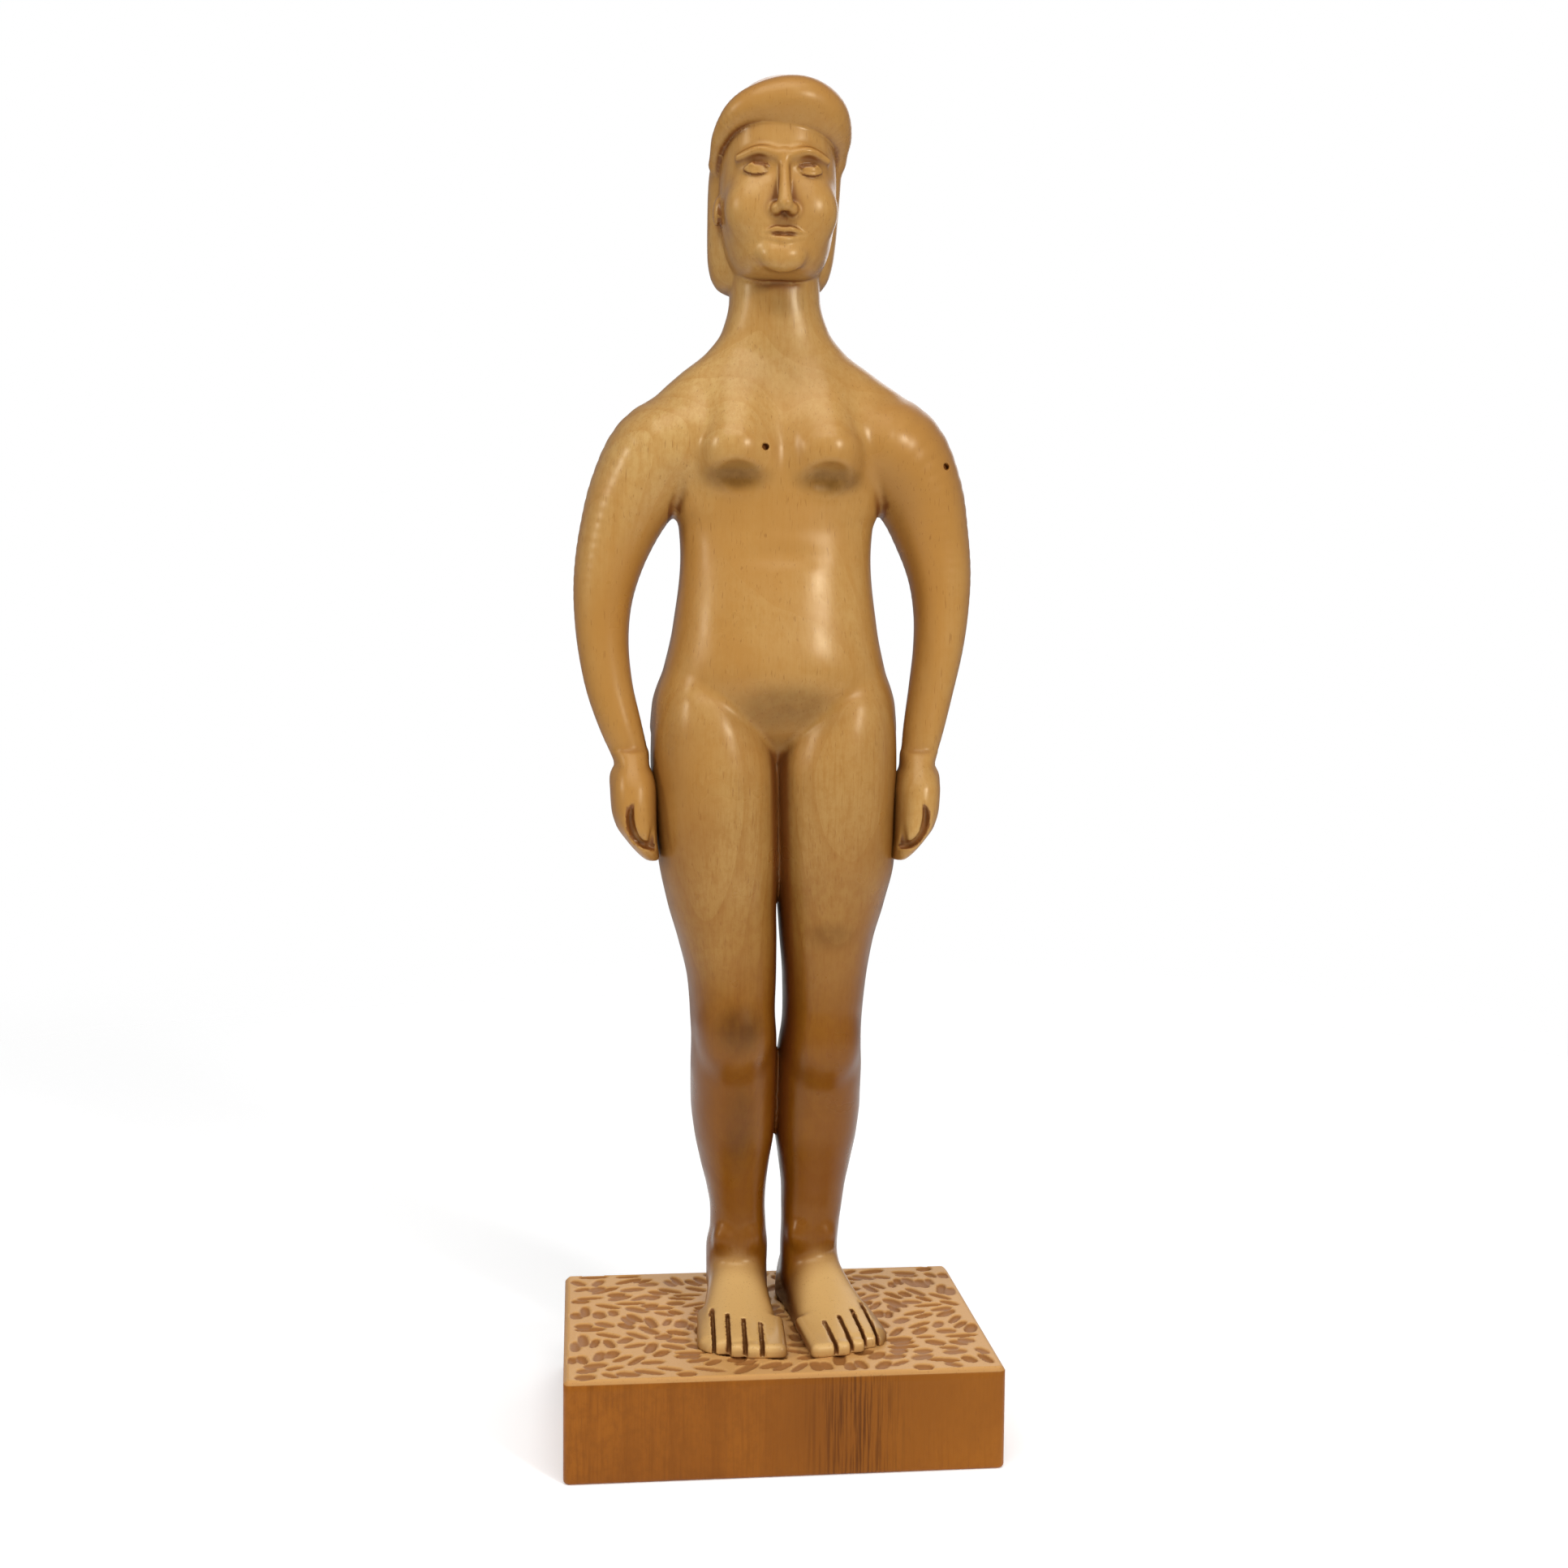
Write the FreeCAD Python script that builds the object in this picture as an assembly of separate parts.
"""A carved wooden figure standing on a block plinth, in millimetres.

+Z is up and the figure faces -Y, so its own right side is at -X. The origin is the middle of the
plinth's underside. The body is one carving from soles to crown; the arms are pieced on at flat glue
faces beside the chest, and hidden dowels hold the arms, the hands and the feet.
"""

import FreeCAD, Part
import math
import os

# Plinth
PLINTH_WIDTH = 154.0
PLINTH_DEPTH = 110.0
PLINTH_HEIGHT = 36.5
PLINTH_CORNER_RADIUS = 2.5
PLINTH_TOP_BEVEL = 1.6

# Heights of the figure's parts, stacked from the soles up
FOOT_HEIGHT = 23.5
SHIN_LENGTH = 82.0
THIGH_LENGTH = 108.0
PELVIS_HEIGHT = 70.0
CHEST_HEIGHT = 76.0
NECK_LENGTH = 23.0
HEAD_HEIGHT = 72.5

# Widths across the figure, side to side
ANKLE_WIDTH = 21.5
CALF_WIDTH = 31.0
KNEE_WIDTH = 31.0
THIGH_WIDTH = 45.0
HIP_WIDTH = 88.0
WAIST_WIDTH = 70.0
CHEST_WIDTH = 76.0
NECK_WIDTH = 33.0
FACE_WIDTH = 42.0
HAIR_WIDTH = 50.0

# Depths, front to back
ANKLE_DEPTH = 23.0
CALF_DEPTH = 42.0
KNEE_DEPTH = 41.0
THIGH_DEPTH = 53.0
HIP_DEPTH = 65.0
WAIST_DEPTH = 41.0
CHEST_DEPTH = 46.0
NECK_DEPTH = 29.0
HEAD_DEPTH = 55.0
HAIR_DEPTH = 44.0
HAIR_THICKNESS = 4.0

# Stance: sideways places of each leg, and how far the body's lines stand back from the plinth's middle
RIGHT_ANKLE_X = -12.0
RIGHT_KNEE_X = -14.3
LEFT_ANKLE_X = 16.0
LEFT_KNEE_X = 19.2
ANKLE_BACK = 17.0
RIGHT_KNEE_BACK = 6.0
LEFT_KNEE_BACK = 12.5
TORSO_BACK = 9.0
HEAD_BACK = 5.5
THIGH_OVERLAP = 0.6

# Feet
FOOT_LENGTH = 71.0
FOOT_WIDTH = 26.5
HEEL_LENGTH = 13.5
TOE_HEIGHT = 6.5
RIGHT_TOE_OUT = 3.0
LEFT_TOE_OUT = 9.0

# Shoulders, arms and hands
ARMPIT_CREASE = 2.0
SHOULDER_WIDTH = 131.0
SHOULDER_DEPTH = 40.0
SHOULDER_BELOW_COLLAR = 38.0
ARMPIT_BELOW_SHOULDER = 20.0
UPPER_ARM_WIDTH = 27.0
UPPER_ARM_DEPTH = 31.0
ELBOW_WIDTH = 20.0
ELBOW_DEPTH = 24.0
FOREARM_WIDTH = 17.0
FOREARM_DEPTH = 21.0
WRIST_WIDTH = 14.5
WRIST_DEPTH = 17.0
ELBOW_OUT = 62.5
HAND_THICKNESS = 17.0
HAND_DEPTH = 27.0
HAND_LENGTH = 38.0
HAND_BELOW_CROTCH = 44.0
HAND_FORWARD = 4.0
HAND_FLAT = 0.8

# Dowels and the gaps left for glue
FOOT_DOWEL_DIAMETER = 8.0
FOOT_DOWEL_LENGTH = 44.0
SHOULDER_DOWEL_DIAMETER = 6.0
SHOULDER_DOWEL_LENGTH = 28.0
SHOULDER_DOWEL_SPACING = 16.0
HAND_DOWEL_DIAMETER = 4.0
HAND_DOWEL_LENGTH = 15.0
DOWEL_CHAMFER = 0.6
GLUE_CLEARANCE = 0.05
HOLE_END_CLEARANCE = 1.0

# Heights of the landmarks
SOLE_Z = PLINTH_HEIGHT
ANKLE_Z = SOLE_Z + FOOT_HEIGHT
KNEE_Z = ANKLE_Z + SHIN_LENGTH
CROTCH_Z = KNEE_Z + THIGH_LENGTH
WAIST_Z = CROTCH_Z + PELVIS_HEIGHT
COLLAR_Z = WAIST_Z + CHEST_HEIGHT
CHIN_Z = COLLAR_Z + NECK_LENGTH
CROWN_Z = CHIN_Z + HEAD_HEIGHT

HIP_X = THIGH_WIDTH / 2 - THIGH_OVERLAP
THIGH_SIDE_X = HIP_X + THIGH_WIDTH / 2
SHOULDER_JOINT_X = CHEST_WIDTH / 2 + ARMPIT_CREASE
SHOULDER_Z = COLLAR_Z - SHOULDER_BELOW_COLLAR
SHOULDER_BACK = TORSO_BACK + 1.0
ARMPIT_Z = SHOULDER_Z - ARMPIT_BELOW_SHOULDER
HAND_TIP_Z = CROTCH_Z - HAND_BELOW_CROTCH
WRIST_Z = HAND_TIP_Z + HAND_LENGTH
HAND_FACE_X = THIGH_SIDE_X - HAND_FLAT
HAND_X = HAND_FACE_X + HAND_THICKNESS / 2 - HAND_FLAT

RING_POINTS = 16
RING_SPACING = 7.0
FINE_RING_SPACING = 4.0
RING_SQUARENESS = 2.2
ARCH_POINTS = 9


def vector(x, y, z):
    return FreeCAD.Vector(x, y, z)


def between(low, high, share):
    """The value that lies the given share of the way from low to high."""
    return low + (high - low) * share


def rounded(angle, squareness=RING_SQUARENESS):
    """A point on a unit superellipse, a little squarer than a circle."""
    cosine, sine = math.cos(angle), math.sin(angle)
    power = 2.0 / squareness
    return (
        math.copysign(abs(cosine) ** power, cosine),
        math.copysign(abs(sine) ** power, sine),
    )


def ring(centre, half_width, half_depth):
    """A closed, smooth, level outline round centre."""
    points = []
    for step in range(RING_POINTS):
        across, deep = rounded(2 * math.pi * step / RING_POINTS)
        points.append(centre + vector(across * half_width, deep * half_depth, 0))
    curve = Part.BSplineCurve()
    parameters = [float(n) for n in range(RING_POINTS + 1)]
    curve.interpolate(Points=points, PeriodicFlag=True, Parameters=parameters)
    return Part.Wire([curve.toShape()])


def slope_at(stations, index, item):
    """The slope of one item at a station: level at a turning point, so nothing overshoots."""
    if index in (0, len(stations) - 1):
        return 0.0
    before, here, after = stations[index - 1 : index + 2]
    rise_in = (here[item] - before[item]) / (here[0] - before[0])
    rise_out = (after[item] - here[item]) / (after[0] - here[0])
    if rise_in * rise_out <= 0:
        return 0.0
    return 2 * rise_in * rise_out / (rise_in + rise_out)


def station_at(stations, place):
    """The stations' values at any place along them, on smooth curves through the given ones."""
    index = 0
    while index < len(stations) - 2 and place > stations[index + 1][0]:
        index += 1
    low, high = stations[index], stations[index + 1]
    span = high[0] - low[0]
    t = min(1.0, max(0.0, (place - low[0]) / span))
    values = [place]
    for item in range(1, len(low)):
        slope_low = slope_at(stations, index, item) * span
        slope_high = slope_at(stations, index + 1, item) * span
        values.append(
            (2 * t**3 - 3 * t**2 + 1) * low[item]
            + (t**3 - 2 * t**2 + t) * slope_low
            + (3 * t**2 - 2 * t**3) * high[item]
            + (t**3 - t**2) * slope_high
        )
    return values


def evenly(stations, spacing):
    """Stations at even places about spacing apart, because a loft through uneven ones ripples."""
    first, last = stations[0][0], stations[-1][0]
    count = max(3, round((last - first) / spacing))
    return [station_at(stations, between(first, last, n / count)) for n in range(count + 1)]


def column(stations, spacing=RING_SPACING):
    """An upright solid through (height, centre x, centre y, half width, half depth) stations."""
    rings = [
        ring(vector(x, y, z), width, depth) for z, x, y, width, depth in evenly(stations, spacing)
    ]
    return solid_through(rings)


def arch(y, centre_x, half_width, height):
    """A flat-bottomed outline across a foot, standing on the plinth's top."""
    points = []
    for step in range(ARCH_POINTS):
        across, up = rounded(math.pi * step / (ARCH_POINTS - 1))
        points.append(vector(centre_x + across * half_width, y, SOLE_Z + up * height))
    curve = Part.BSplineCurve()
    curve.interpolate(Points=points, Parameters=[float(n) for n in range(ARCH_POINTS)])
    return Part.Wire([curve.toShape(), Part.makeLine(points[-1], points[0])])


def solid_through(wires):
    return Part.makeLoft(wires, True, False)


def dowel_shape(start, direction, radius, length, chamfer=0.0):
    """A straight rod from start along direction, with its end edges bevelled by chamfer."""
    rod = Part.makeCylinder(radius, length, start, direction)
    if chamfer:
        ends = [e for e in rod.Edges if isinstance(e.Curve, Part.Circle)]
        rod = rod.makeChamfer(chamfer, ends)
    return rod


def dowel_and_hole(middle, direction, diameter, length):
    """A dowel centred on the glue face at middle, and the blind hole that it needs on both sides."""
    radius = diameter / 2
    start = middle - direction * (length / 2)
    dowel = dowel_shape(start, direction, radius, length, DOWEL_CHAMFER)
    hole = dowel_shape(
        start - direction * HOLE_END_CLEARANCE,
        direction,
        radius + GLUE_CLEARANCE,
        length + 2 * HOLE_END_CLEARANCE,
    )
    return dowel, hole


def make_plinth():
    block = Part.makeBox(
        PLINTH_WIDTH,
        PLINTH_DEPTH,
        PLINTH_HEIGHT,
        vector(-PLINTH_WIDTH / 2, -PLINTH_DEPTH / 2, 0),
    )
    uprights = [e for e in block.Edges if abs(e.tangentAt(e.FirstParameter).z) > 0.5]
    block = block.makeFillet(PLINTH_CORNER_RADIUS, uprights)
    top = [e for e in block.Edges if e.BoundBox.ZMin > PLINTH_HEIGHT - 0.01]
    return block.makeChamfer(PLINTH_TOP_BEVEL, top)


def make_leg(ankle_x, knee_x, hip_x, knee_back):
    """One leg from its flat sole to inside the pelvis."""
    slim_z = between(ANKLE_Z, KNEE_Z, 0.18)
    calf_z = between(ANKLE_Z, KNEE_Z, 0.72)
    low_thigh_z = between(KNEE_Z, CROTCH_Z, 0.22)
    mid_thigh_z = between(KNEE_Z, CROTCH_Z, 0.45)
    high_thigh_z = between(KNEE_Z, CROTCH_Z, 0.72)
    inside_hip_z = between(CROTCH_Z, WAIST_Z, 0.2)
    calf_back = between(ANKLE_BACK, knee_back, 0.35)
    ankle, calf, knee, thigh = (
        (ANKLE_WIDTH / 2, ANKLE_DEPTH / 2),
        (CALF_WIDTH / 2, CALF_DEPTH / 2),
        (KNEE_WIDTH / 2, KNEE_DEPTH / 2),
        (THIGH_WIDTH / 2, THIGH_DEPTH / 2),
    )

    def midway(a, b, share):
        return (between(a[0], b[0], share), between(a[1], b[1], share))

    sizes = [
        (SOLE_Z, ankle_x, ANKLE_BACK, ankle),
        (ANKLE_Z, ankle_x, ANKLE_BACK, ankle),
        (slim_z, ankle_x, ANKLE_BACK, ankle),
        (calf_z, between(ankle_x, knee_x, 0.72), calf_back, calf),
        (KNEE_Z, knee_x, knee_back, knee),
        (low_thigh_z, between(knee_x, hip_x, 0.12), knee_back, midway(knee, thigh, 0.12)),
        (
            mid_thigh_z,
            between(knee_x, hip_x, 0.5),
            between(knee_back, TORSO_BACK, 0.4),
            midway(knee, thigh, 0.55),
        ),
        (high_thigh_z, hip_x, between(knee_back, TORSO_BACK, 0.8), thigh),
        (CROTCH_Z, hip_x, TORSO_BACK + 2.0, thigh),
        (inside_hip_z, 0.9 * hip_x, TORSO_BACK + 2.0, midway(knee, thigh, 0.6)),
    ]
    return column([(z, x, y, *size) for z, x, y, size in sizes])


def make_foot(ankle_x, toe_out):
    """One foot, its heel under the leg, turned outward by toe_out degrees about the ankle."""
    heel_y = HEEL_LENGTH
    toe_y = HEEL_LENGTH - FOOT_LENGTH
    wide = FOOT_WIDTH / 2
    stations = [
        (toe_y, 0.0, 0.72 * wide, 0.7 * TOE_HEIGHT),
        (between(toe_y, heel_y, 0.04), 0.0, 0.88 * wide, TOE_HEIGHT),
        (between(toe_y, heel_y, 0.22), 0.0, wide, 1.35 * TOE_HEIGHT),
        (between(toe_y, heel_y, 0.5), 0.0, 0.9 * wide, 0.72 * FOOT_HEIGHT),
        (between(toe_y, heel_y, 0.7), 0.0, ANKLE_WIDTH / 2, FOOT_HEIGHT),
        (between(toe_y, heel_y, 0.9), 0.0, ANKLE_WIDTH / 2, 0.95 * FOOT_HEIGHT),
        (heel_y, 0.0, 0.38 * ANKLE_WIDTH, 0.55 * FOOT_HEIGHT),
    ]
    foot = solid_through([arch(*station) for station in evenly(stations, FINE_RING_SPACING)])
    foot.rotate(vector(0, 0, 0), vector(0, 0, 1), toe_out)
    foot.translate(vector(ankle_x, ANKLE_BACK, 0))
    return foot


def beside_chest(side, start_x, start_z):
    """The space further out than start_x on one side, from start_z up."""
    near_x = start_x if side > 0 else -start_x - PLINTH_WIDTH
    height = 2 * (CROWN_Z - start_z)
    corner = vector(near_x, -PLINTH_DEPTH, start_z)
    return Part.makeBox(PLINTH_WIDTH, 2 * PLINTH_DEPTH, height, corner)


def make_trunk():
    """Pelvis, belly, chest, both shoulders to their full width, and neck."""
    hip, waist, chest, neck = (
        (HIP_WIDTH / 2, HIP_DEPTH / 2),
        (WAIST_WIDTH / 2, WAIST_DEPTH / 2),
        (CHEST_WIDTH / 2, CHEST_DEPTH / 2),
        (NECK_WIDTH / 2, NECK_DEPTH / 2),
    )
    reach = SHOULDER_WIDTH / 2
    deep = SHOULDER_DEPTH / 2
    back = TORSO_BACK
    rows = [
        (between(CROTCH_Z, WAIST_Z, -0.25), back + 2, 0.25 * hip[0], 0.25 * hip[1]),
        (between(CROTCH_Z, WAIST_Z, -0.02), back + 2.5, 0.8 * hip[0], 0.75 * hip[1]),
        (between(CROTCH_Z, WAIST_Z, 0.15), back + 3, hip[0], 0.97 * hip[1]),
        (between(CROTCH_Z, WAIST_Z, 0.28), back + 2.5, 0.96 * hip[0], hip[1]),
        (between(CROTCH_Z, WAIST_Z, 0.5), back - 1.5, between(waist[0], hip[0], 0.4), 0.9 * hip[1]),
        (WAIST_Z, back - 2, waist[0], waist[1]),
        (between(WAIST_Z, ARMPIT_Z, 0.55), back - 1, chest[0], chest[1]),
        (between(ARMPIT_Z, SHOULDER_Z, 0.1), back, between(chest[0], reach, 0.6), chest[1]),
        (between(ARMPIT_Z, SHOULDER_Z, 0.6), back, 0.96 * reach, between(deep, chest[1], 0.5)),
        (SHOULDER_Z, back + 1, reach, deep),
    ]
    for share, breadth, depth in (
        (0.2, 0.91, 0.95),
        (0.4, 0.77, 0.8),
        (0.6, 0.57, 0.55),
        (0.8, 0.34, 0.3),
        (1.0, 0.16, 0.12),
    ):
        rows.append(
            (
                between(SHOULDER_Z, COLLAR_Z, share),
                back + 1 + 1.5 * share,
                between(neck[0], reach, breadth),
                between(neck[1], deep, depth),
            )
        )
    rows += [
        (between(COLLAR_Z, CHIN_Z, 0.4), back + 2.5, between(neck[0], reach, 0.04), neck[1]),
        (CHIN_Z, back + 2.5, neck[0], neck[1]),
        (between(CHIN_Z, CROWN_Z, 0.15), back + 2.5, neck[0], neck[1]),
    ]
    return column([(z, 0.0, y, width, depth) for z, y, width, depth in rows])


def make_head():
    """The face and skull, under the hair."""
    wide, deep = FACE_WIDTH / 2, HEAD_DEPTH / 2
    rows = [
        (between(CHIN_Z, CROWN_Z, -0.03), HEAD_BACK - 3, 0.6 * wide, 0.6 * deep),
        (between(CHIN_Z, CROWN_Z, 0.05), HEAD_BACK - 2, 0.85 * wide, 0.85 * deep),
        (between(CHIN_Z, CROWN_Z, 0.3), HEAD_BACK, wide, 0.98 * deep),
        (between(CHIN_Z, CROWN_Z, 0.55), HEAD_BACK, wide, deep),
        (between(CHIN_Z, CROWN_Z, 0.75), HEAD_BACK, 0.9 * wide, 0.9 * deep),
        (between(CHIN_Z, CROWN_Z, 0.9), HEAD_BACK, 0.55 * wide, 0.6 * deep),
    ]
    return column([(z, 0.0, y, width, depth) for z, y, width, depth in rows])


def make_hair():
    """The hair that hangs behind the face."""
    wide, deep = HAIR_WIDTH / 2, HAIR_DEPTH / 2
    back = HEAD_BACK + HEAD_DEPTH / 2 + HAIR_THICKNESS - deep
    rows = [
        (between(CHIN_Z, CROWN_Z, -0.07), back, 0.7 * wide, 0.6 * deep),
        (between(CHIN_Z, CROWN_Z, 0.0), back, 0.93 * wide, 0.85 * deep),
        (between(CHIN_Z, CROWN_Z, 0.2), back, wide, 0.97 * deep),
        (between(CHIN_Z, CROWN_Z, 0.5), back, wide, deep),
        (between(CHIN_Z, CROWN_Z, 0.78), back - 1, 0.92 * wide, 0.95 * deep),
        (between(CHIN_Z, CROWN_Z, 0.93), back - 5, 0.64 * wide, 0.7 * deep),
    ]
    return column([(z, 0.0, y, width, depth) for z, y, width, depth in rows])


def make_fringe():
    """The cap of hair from the rolled fringe over the forehead up to the crown."""
    wide, deep = HAIR_WIDTH / 2, HEAD_DEPTH / 2 + HAIR_THICKNESS
    rows = [
        (between(CHIN_Z, CROWN_Z, 0.64), HEAD_BACK, 0.88 * wide, 0.9 * deep),
        (between(CHIN_Z, CROWN_Z, 0.7), HEAD_BACK, 0.96 * wide, deep),
        (between(CHIN_Z, CROWN_Z, 0.8), HEAD_BACK, 0.92 * wide, 0.97 * deep),
        (between(CHIN_Z, CROWN_Z, 0.9), HEAD_BACK, 0.74 * wide, 0.8 * deep),
        (between(CHIN_Z, CROWN_Z, 0.96), HEAD_BACK, 0.52 * wide, 0.57 * deep),
        (CROWN_Z, HEAD_BACK, 0.38 * wide, 0.43 * deep),
    ]
    stations = [(z, 0.0, y, width, depth) for z, y, width, depth in rows]
    return column(stations, FINE_RING_SPACING)


def beside_thigh(side):
    """The space outside the small flat where one hand is glued to its thigh."""
    near_x = HAND_FACE_X if side > 0 else -HAND_FACE_X - PLINTH_WIDTH
    low_z = between(KNEE_Z, HAND_TIP_Z, 0.5)
    corner = vector(near_x, -PLINTH_DEPTH, low_z)
    return Part.makeBox(PLINTH_WIDTH, 2 * PLINTH_DEPTH, CROTCH_Z - low_z, corner)


def make_body(trunk, legs):
    """Everything that is one carving: head, torso, legs and feet."""
    torso = trunk.cut([beside_chest(side, SHOULDER_JOINT_X, WAIST_Z) for side in (-1, 1)])
    pieces = [
        *legs,
        make_foot(RIGHT_ANKLE_X, -RIGHT_TOE_OUT),
        make_foot(LEFT_ANKLE_X, LEFT_TOE_OUT),
        make_head(),
        make_hair(),
        make_fringe(),
    ]
    return torso.multiFuse(pieces)


def make_left_arm(trunk):
    """The left arm and hand, from the glue face beside the chest to the fingers on the thigh."""
    elbow_z = between(WRIST_Z, ARMPIT_Z, 0.6)
    below_armpit_z = between(elbow_z, ARMPIT_Z, 0.7)
    inside_shoulder_z = between(ARMPIT_Z, SHOULDER_Z, 0.8)
    palm_y = TORSO_BACK - HAND_FORWARD
    upper_x = SHOULDER_JOINT_X + 0.5 * UPPER_ARM_WIDTH
    upper = (UPPER_ARM_WIDTH / 2, UPPER_ARM_DEPTH / 2)
    elbow = (ELBOW_WIDTH / 2, ELBOW_DEPTH / 2)
    forearm = (FOREARM_WIDTH / 2, FOREARM_DEPTH / 2)
    wrist = (WRIST_WIDTH / 2, WRIST_DEPTH / 2)
    thick, wide = HAND_THICKNESS / 2, HAND_DEPTH / 2
    stations = [
        (HAND_TIP_Z, HAND_X - 8, palm_y, 0.25 * thick, 0.3 * wide),
        (between(WRIST_Z, HAND_TIP_Z, 0.88), HAND_X - 5, palm_y, 0.6 * thick, 0.6 * wide),
        (between(WRIST_Z, HAND_TIP_Z, 0.65), HAND_X - 1.5, palm_y, 0.9 * thick, 0.9 * wide),
        (between(WRIST_Z, HAND_TIP_Z, 0.35), HAND_X, palm_y, thick, wide),
        (WRIST_Z, HAND_X, palm_y, *wrist),
        (between(WRIST_Z, elbow_z, 0.22), between(HAND_X, ELBOW_OUT, 0.36), palm_y, *wrist),
        (between(WRIST_Z, elbow_z, 0.6), between(HAND_X, ELBOW_OUT, 0.86), TORSO_BACK - 2.5, *forearm),
        (elbow_z, ELBOW_OUT, TORSO_BACK - 1, *elbow),
        (below_armpit_z, between(ELBOW_OUT, upper_x, 0.4), SHOULDER_BACK, 0.94 * upper[0], upper[1]),
        (ARMPIT_Z, upper_x + 2, SHOULDER_BACK, *upper),
        (inside_shoulder_z, upper_x - 2, SHOULDER_BACK, 0.75 * upper[0], 0.85 * upper[1]),
    ]
    shoulder = trunk.common(beside_chest(1, 0.8 * SHOULDER_JOINT_X, ARMPIT_Z))
    inside_chest = Part.makeBox(
        SHOULDER_JOINT_X,
        2 * PLINTH_DEPTH,
        CROWN_Z,
        vector(0, -PLINTH_DEPTH, WAIST_Z),
    )
    inside_thigh = Part.makeBox(
        HAND_FACE_X,
        2 * PLINTH_DEPTH,
        CROTCH_Z - KNEE_Z,
        vector(0, -PLINTH_DEPTH, KNEE_Z),
    )
    return column(stations).fuse(shoulder).cut([inside_chest, inside_thigh])


def shoulder_dowels(side):
    """The two dowels across one shoulder's glue face, upper then lower, and their holes."""
    pairs = []
    for rise in (SHOULDER_DOWEL_SPACING / 2, -SHOULDER_DOWEL_SPACING / 2):
        middle = vector(side * SHOULDER_JOINT_X, SHOULDER_BACK, SHOULDER_Z + rise)
        pairs.append(
            dowel_and_hole(middle, vector(side, 0, 0), SHOULDER_DOWEL_DIAMETER, SHOULDER_DOWEL_LENGTH)
        )
    return pairs


def hand_dowel(side):
    """The dowel from one hand into the thigh beside it, and its hole."""
    middle = vector(side * HAND_FACE_X, TORSO_BACK - 1, WRIST_Z - 0.5 * HAND_LENGTH)
    return dowel_and_hole(middle, vector(side, 0, 0), HAND_DOWEL_DIAMETER, HAND_DOWEL_LENGTH)


def foot_dowel(ankle_x):
    """The upright dowel from one foot into the plinth, and its hole."""
    middle = vector(ankle_x, ANKLE_BACK, SOLE_Z)
    return dowel_and_hole(middle, vector(0, 0, 1), FOOT_DOWEL_DIAMETER, FOOT_DOWEL_LENGTH)


def make_parts():
    """Every node's shape by name."""
    trunk = make_trunk()
    right_leg = make_leg(RIGHT_ANKLE_X, RIGHT_KNEE_X, -HIP_X, RIGHT_KNEE_BACK).cut(beside_thigh(-1))
    left_leg = make_leg(LEFT_ANKLE_X, LEFT_KNEE_X, HIP_X, LEFT_KNEE_BACK).cut(beside_thigh(1))
    left_arm = make_left_arm(trunk)
    right_arm = left_arm.mirror(vector(0, 0, 0), vector(1, 0, 0))
    parts = {}
    body_holes = []
    plinth_holes = []
    for name, side, arm, ankle_x in (
        ("right", -1, right_arm, RIGHT_ANKLE_X),
        ("left", 1, left_arm, LEFT_ANKLE_X),
    ):
        (upper, upper_hole), (lower, lower_hole) = shoulder_dowels(side)
        hand, hand_hole = hand_dowel(side)
        foot, foot_hole = foot_dowel(ankle_x)
        parts[f"{name}_arm"] = arm.cut([upper_hole, lower_hole, hand_hole])
        parts[f"{name}_shoulder_dowel_upper"] = upper
        parts[f"{name}_shoulder_dowel_lower"] = lower
        parts[f"{name}_hand_dowel"] = hand
        parts[f"{name}_foot_dowel"] = foot
        body_holes += [upper_hole, lower_hole, hand_hole, foot_hole]
        plinth_holes.append(foot_hole)
    parts["body"] = make_body(trunk, [right_leg, left_leg]).cut(body_holes)
    parts["plinth"] = make_plinth().cut(plinth_holes)
    return parts


def main():
    os.makedirs("parts", exist_ok=True)
    for name, shape in make_parts().items():
        solids = shape.Solids
        print(f"{name}: {len(solids)} solid, valid {shape.isValid()}, {shape.Volume / 1000:.2f} cm3")
        shape.exportStep(f"parts/{name}.step")


main()
